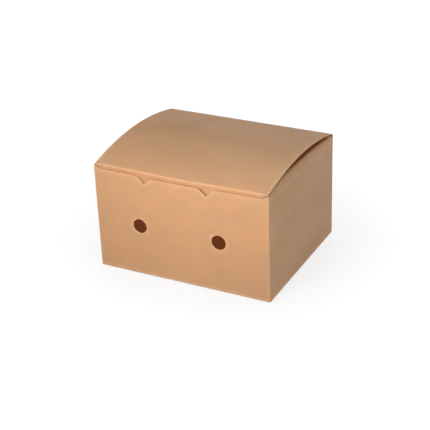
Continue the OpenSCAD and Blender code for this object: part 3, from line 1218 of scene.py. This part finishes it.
def board_fibre_group():
    """Group: the mottle, fibres and flecks of kraft board, as a tint and a height."""
    name = "Board Fibre"
    if name in bpy.data.node_groups:
        return bpy.data.node_groups[name]
    values = {"Mottle Scale": 60.0, "Fibre Scale": 900.0, "Mottle": 0.5, "Flecks": 0.5}
    tree, given, sink = group(name, values, ("Tint", "Fleck", "Height"))
    cut = node(tree, "ShaderNodeUVMap", uv_map="Cut").outputs["UV"]
    mottle = noise(tree, object_place(tree), given["Mottle Scale"], 4.0, 0.6)
    stretched = drawn_out(tree, cut, FIBRE_STRETCH)
    fibre = noise(tree, stretched, given["Fibre Scale"], 3.0, 0.7, 0.6)
    inputs = {"Vector": stretched, "Scale": FLECK_SCALE, "Randomness": 1.0}
    cells = node(tree, "ShaderNodeTexVoronoi", inputs, feature="F1").outputs
    speck = remap(tree, cells["Distance"], *FLECK_FADE, 1.0, 0.0)
    chance = node(tree, "ShaderNodeSeparateColor", {"Color": cells["Color"]}).outputs[0]
    some = remap(tree, chance, *FLECK_CHANCE, 0.0, 1.0)
    fine = times(tree, math_node(tree, "SUBTRACT", fibre, 0.5), FIBRE_IN_TINT)
    coarse = math_node(tree, "SUBTRACT", mottle, 0.5)
    tint = times(tree, math_node(tree, "ADD", coarse, fine), given["Mottle"])
    rough = times(tree, mottle, MOTTLE_IN_HEIGHT)
    return sunk(
        tree,
        sink,
        {
            "Tint": math_node(tree, "ADD", tint, 0.5),
            "Fleck": times(tree, times(tree, speck, some), given["Flecks"]),
            "Height": math_node(tree, "ADD", fibre, rough),
        },
    )


def fold_wear_and_highlight_group():
    """Group: how far the coating is broken along folds and cut edges, and how far a highlight is
    painted paler along them.
    """
    name = "Fold Wear"
    if name in bpy.data.node_groups:
        return bpy.data.node_groups[name]
    values = {"Fold": 0.5, "Cut": 0.5, "Break Scale": 160.0}
    tree, given, sink = group(name, values, ("Wear",))
    breaks = noise(tree, object_place(tree), given["Break Scale"], 3.0, 0.65)
    patchy = remap(tree, breaks, *BREAK_RANGE, LEAST_WEAR_AND_HIGHLIGHT, 1.0)
    worn_and_highlight = []
    for label in ("Fold", "Cut"):
        near = node(tree, "ShaderNodeAttribute", attribute_name=label.lower()).outputs["Fac"]
        worn_and_highlight.append(times(tree, near, given[label]))
    both = math_node(tree, "MAXIMUM", *worn_and_highlight)
    return sunk(tree, sink, {"Wear": math_node(tree, "MULTIPLY", both, patchy, clamp=True)})


def handling_group():
    """Group: soft smudges where the box was handled."""
    name = "Handling"
    if name in bpy.data.node_groups:
        return bpy.data.node_groups[name]
    tree, given, sink = group(name, {"Smudge Scale": 22.0}, ("Smudge",))
    drawn = drawn_out(tree, object_place(tree), SMUDGE_STRETCH)
    smudge = noise(tree, drawn, given["Smudge Scale"], 2.0, 0.5)
    return sunk(tree, sink, {"Smudge": remap(tree, smudge, *SMUDGE_RANGE, 0.0, 1.0)})


def new_material(name):
    """An empty material, its nodes and its Principled shader."""
    material = bpy.data.materials.new(name)
    material.use_nodes = True
    return material, material.node_tree, material.node_tree.nodes["Principled BSDF"]


def board_colour(tree, base, worn_and_highlight, fibre, wear_and_highlight):
    """Mottled board colour, with flecks, and paler where the coating is worn and where a highlight
    is painted along folds and cut edges.
    """
    mottled = shades(tree, fibre["Tint"], base, *MOTTLE_SHADES)
    flecked = mix(tree, fibre["Fleck"], mottled, tuple(c * FLECK_SHADE for c in base))
    return mix(tree, wear_and_highlight, flecked, worn_and_highlight)


def dent(tree, strength, depth, fibre):
    """The normal of a surface with the board's fibres in it."""
    inputs = {"Strength": strength, "Distance": depth, "Height": fibre["Height"]}
    return node(tree, "ShaderNodeBump", inputs).outputs["Normal"]


def let_light_through(shader):
    """Lets a little reddish light through the thin board."""
    shader.inputs["Subsurface Weight"].default_value = 0.5
    shader.inputs["Subsurface Radius"].default_value = (1.0, 0.4, 0.2)
    shader.inputs["Subsurface Scale"].default_value = 1.0 * MM


def outside_board():
    """Satin coated outer face of the board."""
    name = "satin_board_outside"
    if name in bpy.data.materials:
        return bpy.data.materials[name]
    finish = sizes("finish")
    material, tree, shader = new_material(name)
    fibre = place_group(
        tree, board_fibre_group(), Mottle_Scale=42.0, Fibre_Scale=900.0, Mottle=0.55, Flecks=0.18
    )
    # The paler band by folds and cut edges is worn coating, and a painted highlight on the lid's
    # front crease and the front wall's cut rim
    wear_and_highlight = place_group(tree, fold_wear_and_highlight_group(), Fold=0.4, Cut=0.6, Break_Scale=150.0)["Wear"]
    smudge = place_group(tree, handling_group(), Smudge_Scale=20.0)["Smudge"]
    base = board_colour(tree, finish.outside, finish.worn_and_highlight, fibre, wear_and_highlight)
    least = finish.roughness
    rough = remap(tree, smudge, 0.0, 1.0, least, least + SMUDGE_ROUGHNESS)
    inputs = {
        "Base Color": mix(tree, times(tree, smudge, SMUDGE_SHARE), base, SMUDGE_COLOUR),
        "Roughness": math_node(tree, "ADD", rough, times(tree, wear_and_highlight, WEAR_ROUGHNESS)),
        "Coat Weight": finish.coat,
        "Coat Roughness": finish.coat_roughness,
        "Normal": dent(tree, 0.12, 0.05 * MM, fibre),
    }
    feed(tree, shader, inputs)
    let_light_through(shader)
    return material


def inside_board():
    """Uncoated inner face of the board."""
    name = "plain_board_inside"
    if name in bpy.data.materials:
        return bpy.data.materials[name]
    finish = sizes("finish")
    material, tree, shader = new_material(name)
    fibre = place_group(
        tree, board_fibre_group(), Mottle_Scale=70.0, Fibre_Scale=700.0, Mottle=0.9, Flecks=0.55
    )
    wear_and_highlight = place_group(tree, fold_wear_and_highlight_group(), Fold=0.25, Cut=0.3, Break_Scale=200.0)["Wear"]
    inputs = {
        "Base Color": board_colour(tree, finish.inside, finish.edge, fibre, wear_and_highlight),
        "Roughness": 0.85,
        # The glow stands in for the light that comes through the walls of the closed box
        "Emission Color": (*finish.glow, 1.0),
        "Emission Strength": finish.glow_strength,
        "Normal": dent(tree, 0.3, 0.08 * MM, fibre),
    }
    feed(tree, shader, inputs)
    let_light_through(shader)
    return material


def cut_edge():
    """Raw cut edge of the board, with its plies."""
    name = "cut_board_edge"
    if name in bpy.data.materials:
        return bpy.data.materials[name]
    material, tree, shader = new_material(name)
    fibre = place_group(
        tree, board_fibre_group(), Mottle_Scale=220.0, Fibre_Scale=1400.0, Mottle=1.0, Flecks=0.2
    )
    inputs = {
        "Base Color": shades(tree, fibre["Tint"], sizes("finish").edge, *PLY_SHADES),
        "Roughness": 0.9,
        "Normal": dent(tree, 0.5, 0.1 * MM, fibre),
    }
    feed(tree, shader, inputs)
    return material


# Creases: beads and cut scores, made by geometry nodes

BEAD_SIDES = 10
SLIVER_SIDES = 8
SLIVER_SEGMENTS = 6
# Shortest and longest sliver, as shares of the length that is set, and height to width
SLIVER_LENGTHS = (0.75, 1.15)
SLIVER_FLATNESS = 0.35


def grown(tree, kind, geometry, **inputs):
    """The geometry that a node makes of its first input."""
    made = node(tree, kind, {k.replace("_", " "): v for k, v in inputs.items()})
    tree.links.new(geometry, made.inputs[0])
    return made.outputs[0]


def scaled(tree, x, y, z):
    """A vector of three values."""
    return node(tree, "ShaderNodeCombineXYZ", {0: x, 1: y, 2: z}).outputs[0]


def bead_tree():
    """Sweeps a flat half round along every line: the bead that creasing presses up."""
    values = {"Width": 0.001, "Height": 0.0003, "Material": None}
    tree, given, sink = group("Crease Bead", values, (), "GeometryNodeTree")
    lines = grown(tree, "GeometryNodeMeshToCurve", given["Geometry"])
    circle = {"Resolution": BEAD_SIDES, "Radius": 1.0}
    profile = node(tree, "GeometryNodeCurvePrimitiveCircle", circle).outputs["Curve"]
    size = scaled(tree, times(tree, given["Width"], 0.5), given["Height"], 1.0)
    flat = grown(tree, "GeometryNodeTransform", profile, Scale=size)
    swept = grown(tree, "GeometryNodeCurveToMesh", lines, Profile_Curve=flat, Fill_Caps=True)
    smooth = grown(tree, "GeometryNodeSetShadeSmooth", swept)
    real = grown(tree, "GeometryNodeRealizeInstances", smooth)
    done = grown(tree, "GeometryNodeSetMaterial", real, Material=given["Material"])
    return sunk(tree, sink, {0: done})


def score_tree():
    """Lays short slivers of torn board along every line, with lengths that vary."""
    values = {"Length": 0.017, "Gap": 0.004, "Width": 0.0005, "Seed": 7, "Material": None}
    tree, given, sink = group("Cut Score", values, (), "GeometryNodeTree")
    lines = grown(tree, "GeometryNodeMeshToCurve", given["Geometry"])
    pitch = math_node(tree, "ADD", given["Length"], given["Gap"])
    inputs = {"Curve": lines, "Length": pitch}
    points = node(tree, "GeometryNodeCurveToPoints", inputs, mode="LENGTH").outputs
    inputs = {"Vertices": SLIVER_SIDES, "Radius": 0.5, "Depth": 1.0}
    inputs["Side Segments"] = SLIVER_SEGMENTS
    sliver = node(tree, "GeometryNodeMeshCylinder", inputs).outputs["Mesh"]
    least, most = SLIVER_LENGTHS
    inputs = {"Seed": given["Seed"], 2: least, 3: most}
    chance = node(tree, "FunctionNodeRandomValue", inputs, data_type="FLOAT").outputs[1]
    long = times(tree, given["Length"], chance)
    size = scaled(tree, given["Width"], times(tree, given["Width"], SLIVER_FLATNESS), long)
    inputs = {"Instance": sliver, "Rotation": points["Rotation"], "Scale": size}
    laid = grown(tree, "GeometryNodeInstanceOnPoints", points["Points"], **inputs)
    real = grown(tree, "GeometryNodeRealizeInstances", laid)
    done = grown(tree, "GeometryNodeSetMaterial", real, Material=given["Material"])
    return sunk(tree, sink, {0: done})


def grown_piece(name, lines, tree, values):
    """Runs a geometry node tree over polylines and keeps the result as a plain mesh."""
    vertices, edges = [], []
    for line in lines:
        start = len(vertices)
        vertices.extend(tuple(map(float, p)) for p in line)
        edges.extend((start + i, start + i + 1) for i in range(len(line) - 1))
    mesh = bpy.data.meshes.new(name + "_lines")
    mesh.from_pydata(vertices, edges, [])
    carrier = add_object(name + "_lines", mesh)
    modifier = carrier.modifiers.new("Grow", "NODES")
    modifier.node_group = tree
    sockets = {s.name: s.identifier for s in tree.interface.items_tree if s.in_out == "INPUT"}
    for label, value in values.items():
        modifier[sockets[label]] = value
    bpy.context.view_layer.update()
    seen = carrier.evaluated_get(bpy.context.evaluated_depsgraph_get())
    made = bpy.data.meshes.new_from_object(seen)
    carrier.modifiers.remove(modifier)
    bpy.data.objects.remove(carrier)
    made.name = name
    return add_object(name, made)


# Points along the lines of beads and scores, and how far they end before their crease does
WALL_BEAD_POINTS, LID_BEAD_POINTS, SCORE_POINTS = 12, 40, 60
WALL_BEAD_END, LID_BEAD_END, SCORE_END = 3 * MM, 1 * MM, 2 * MM


class SNACKBOX_OT_crease_beads(bpy.types.Operator):
    """Press the beads inside the vertical folds and the lid's front crease"""

    bl_idname = "snackbox.crease_beads"
    bl_label = "Crease Beads"

    def execute(self, context):
        board, walls, creases = sizes("board", "walls", "creases")
        tree = bead_tree()
        values = {
            "Width": creases.bead_width,
            "Height": creases.bead_height,
            "Material": inside_board(),
        }
        path = WallPath()
        inner = board.thickness / 2
        low = board.fold_radius + 2 * board.thickness
        heights = np.linspace(low, walls.side_height - WALL_BEAD_END, WALL_BEAD_POINTS)
        lines = []
        for k in WallPath.folds:
            s = np.full(WALL_BEAD_POINTS, sum(path.bounds(k)) / 2)
            places, out = path.rule(np.column_stack([s, heights]))
            lines.append(places - out * inner)
        piece = grown_piece("tray_crease_beads", lines, tree, values)
        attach(piece, "tray")

        rule = LidRule()
        reach = rule.slit - LID_BEAD_END
        x = np.linspace(-reach, reach, LID_BEAD_POINTS)
        q = np.full(LID_BEAD_POINTS, (rule.arch_length + rule.crease_end) / 2)
        places, out = rule(np.column_stack([x, q]))
        piece = grown_piece("lid_crease_bead", [places - out * inner], tree, values)
        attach(piece, "lid")
        return {"FINISHED"}


class SNACKBOX_OT_cut_scores(bpy.types.Operator):
    """Lay the torn lines of the cut scores along the dust flaps' creases"""

    bl_idname = "snackbox.cut_scores"
    bl_label = "Cut Scores"

    def execute(self, context):
        board, walls, flaps, creases = sizes("board", "walls", "flaps", "creases")
        clear = creases.score_length / 2 + SCORE_END
        front = -BOX_DEPTH / 2 + flaps.dust_front + clear
        y = np.linspace(front, BOX_DEPTH / 2 - flaps.dust_back - clear, SCORE_POINTS)
        z = walls.side_height - board.fold_radius
        radius, turn = board.fold_radius, creases.score_turn
        height = np.full(SCORE_POINTS, z + radius * math.sin(turn))
        x = BOX_WIDTH / 2 - radius + radius * math.cos(turn)
        x = x + side_bow(y, np.full(SCORE_POINTS, z))
        lines = [np.column_stack([side * x, y, height]) for side in (-1, 1)]
        values = {
            "Length": creases.score_length,
            "Gap": creases.score_gap,
            "Width": creases.score_width,
            "Seed": creases.seed,
            "Material": cut_edge(),
        }
        piece = grown_piece("side_cut_scores", lines, score_tree(), values)
        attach(piece, "tray")
        return {"FINISHED"}


# Studio

# Name, place, size, watts and tint of each lamp
LAMPS = (
    ("front_softbox", (0.01, -0.35, 0.215), (0.2, 0.16), 1.24, (1.0, 1.0, 1.0)),
    ("right_fill", (0.75, -0.14, 0.12), (0.3, 0.12), 1.85, (0.95, 0.98, 1.0)),
    ("back_softbox", (-0.1, 0.9, 1.0), (0.8, 0.6), 5.4, (1.0, 0.97, 0.85)),
)
LAMP_AIM = Vector((0, 0, 0.05))
WHITE = (1, 1, 1, 1)
ROOM_COLOUR, ROOM_STRENGTH = (0.93, 0.99, 1, 1), 0.17
SENSOR = 36.0

# The floor: half its width, where its sweep starts and its radius, height and steps
FLOOR_HALF, FLOOR_BACK, FLOOR_RISE, FLOOR_TOP, FLOOR_STEPS = 3.0, 2.0, 1.2, 3.0, 24
FLOOR_LEVEL = -0.2 * MM
# Distances from the box between which the floor's glow grows to white
GLOW_NEAR, GLOW_FAR = 0.1, 0.26


def camera_axes(studio):
    """The camera's right, up and forward directions."""
    az, el, roll = studio.azimuth, studio.elevation, studio.roll
    flat = math.cos(el)
    ahead = -np.array((math.sin(az) * flat, -math.cos(az) * flat, math.sin(el)))
    right = unit(np.cross(ahead, (0, 0, 1)))
    up = np.cross(right, ahead)
    cos, sin = math.cos(roll), math.sin(roll)
    return cos * right + sin * up, cos * up - sin * right, ahead


def add_camera(studio):
    """The camera at the photograph's angle."""
    right, up, ahead = camera_axes(studio)
    place = (
        np.array((0, 0, studio.aim_height))
        - ahead * studio.distance
        + right * studio.aim_right
        + up * studio.aim_up
    )
    data = bpy.data.cameras.new("camera")
    data.sensor_width = SENSOR
    data.lens = studio.focal_pixels * SENSOR / studio.image_size
    data.clip_start, data.clip_end = 0.05, 20.0
    camera = add_object("camera", data)
    columns = (*right, 0), (*up, 0), (*-ahead, 0), (*place, 1)
    camera.matrix_world = Matrix(columns).transposed()
    bpy.context.scene.camera = camera


def add_lamp(name, place, size, watts, tint):
    """A soft box that points at the middle of the snack box."""
    data = bpy.data.lights.new(name, "AREA")
    data.shape = "RECTANGLE"
    data.size, data.size_y = size
    data.energy = watts
    data.color = tint
    lamp = add_object(name, data)
    lamp.location = place
    lamp.rotation_euler = (LAMP_AIM - Vector(place)).to_track_quat("-Z", "Y").to_euler()


def seen_directly(tree):
    """One for rays that show the background: straight, reflected or through glass."""
    path = node(tree, "ShaderNodeLightPath").outputs
    mirrored = math_node(tree, "MAXIMUM", path["Is Glossy Ray"], path["Is Transmission Ray"])
    return math_node(tree, "MAXIMUM", path["Is Camera Ray"], mirrored)


def add_world():
    """White where the background is seen, and a soft grey light for everything else."""
    world = bpy.data.worlds.new("studio")
    world.use_nodes = True
    bpy.context.scene.world = world
    tree = world.node_tree
    tree.nodes.clear()
    lit, seen = (
        node(tree, "ShaderNodeBackground", {"Color": tone, "Strength": strength}).outputs[0]
        for tone, strength in ((ROOM_COLOUR, ROOM_STRENGTH), (WHITE, 1.0))
    )
    both = node(tree, "ShaderNodeMixShader", {0: seen_directly(tree), 1: lit, 2: seen})
    node(tree, "ShaderNodeOutputWorld", {"Surface": both.outputs[0]})


def add_floor(studio):
    """A sweep that rises far behind the box and shows white where no shadow falls."""
    profile = [(-FLOOR_HALF, FLOOR_LEVEL), (FLOOR_BACK, FLOOR_LEVEL)]
    profile += [
        (FLOOR_BACK + FLOOR_RISE * math.sin(a), FLOOR_LEVEL + FLOOR_RISE * (1 - math.cos(a)))
        for a in np.linspace(0, math.pi / 2, FLOOR_STEPS)[1:]
    ]
    profile.append((FLOOR_BACK + FLOOR_RISE, FLOOR_TOP))
    vertices = [(x, y, z) for y, z in profile for x in (-FLOOR_HALF, FLOOR_HALF)]
    faces = [(2 * i, 2 * i + 1, 2 * i + 3, 2 * i + 2) for i in range(len(profile) - 1)]
    mesh = bpy.data.meshes.new("floor")
    mesh.from_pydata(vertices, [], faces)
    mesh.polygons.foreach_set("use_smooth", [True] * len(faces))
    floor = add_object("floor", mesh)
    material, tree, shader = new_material("pale_floor")
    # The floor by the box looks a little darker, so that the shadow stays
    place = object_place(tree)
    away = node(tree, "ShaderNodeVectorMath", {0: place}, operation="LENGTH").outputs["Value"]
    white = remap(tree, away, GLOW_NEAR, GLOW_FAR, studio.floor_glow, 1.0)
    inputs = {
        "Base Color": (*studio.floor, 1.0),
        "Roughness": 0.9,
        "Emission Color": WHITE,
        "Emission Strength": times(tree, seen_directly(tree), white),
    }
    feed(tree, shader, inputs)
    mesh.materials.append(material)


class SNACKBOX_OT_stage(bpy.types.Operator):
    """Set the camera, the pale floor and the soft lamps"""

    bl_idname = "snackbox.stage"
    bl_label = "Stage"

    def execute(self, context):
        studio = sizes("studio")
        context.scene.view_settings.view_transform = "Standard"
        add_camera(studio)
        add_world()
        add_floor(studio)
        for lamp in LAMPS:
            add_lamp(*lamp)
        return {"FINISHED"}


class SNACKBOX_PT_sidebar(bpy.types.Panel):
    """Lists the steps and sizes of the snack box"""

    bl_label = "Snack Box"
    bl_idname = "SNACKBOX_PT_sidebar"
    bl_space_type = "VIEW_3D"
    bl_region_type = "UI"
    bl_category = "Snack Box"

    def draw(self, context):
        layout = self.layout
        for operator in OPERATORS:
            layout.operator(operator.bl_idname)
        for label, kind in GROUPS:
            box = layout.box()
            box.label(text=kind.__doc__)
            settings = getattr(context.scene, label)
            for key in kind.__annotations__:
                box.prop(settings, key)


GROUPS = (
    ("snack_box_board", SnackBoxBoard),
    ("snack_box_walls", SnackBoxWalls),
    ("snack_box_flaps", SnackBoxFlaps),
    ("snack_box_lid", SnackBoxLid),
    ("snack_box_creases", SnackBoxCreases),
    ("snack_box_finish", SnackBoxFinish),
    ("snack_box_studio", SnackBoxStudio),
)
OPERATORS = (
    SNACKBOX_OT_walls,
    SNACKBOX_OT_dust_flaps,
    SNACKBOX_OT_base,
    SNACKBOX_OT_lid,
    SNACKBOX_OT_hinge,
    SNACKBOX_OT_crease_beads,
    SNACKBOX_OT_cut_scores,
    SNACKBOX_OT_stage,
)


def register():
    for label, kind in GROUPS:
        bpy.utils.register_class(kind)
        setattr(bpy.types.Scene, label, bpy.props.PointerProperty(type=kind))
    for operator in OPERATORS:
        bpy.utils.register_class(operator)
    bpy.utils.register_class(SNACKBOX_PT_sidebar)


def unregister():
    bpy.utils.unregister_class(SNACKBOX_PT_sidebar)
    for operator in reversed(OPERATORS):
        bpy.utils.unregister_class(operator)
    for label, kind in reversed(GROUPS):
        delattr(bpy.types.Scene, label)
        bpy.utils.unregister_class(kind)


def main():
    register()
    for operator in OPERATORS:
        step = operator.bl_idname.split(".")[1]
        getattr(bpy.ops.snackbox, step)()


if __name__ == "__main__":
    main()
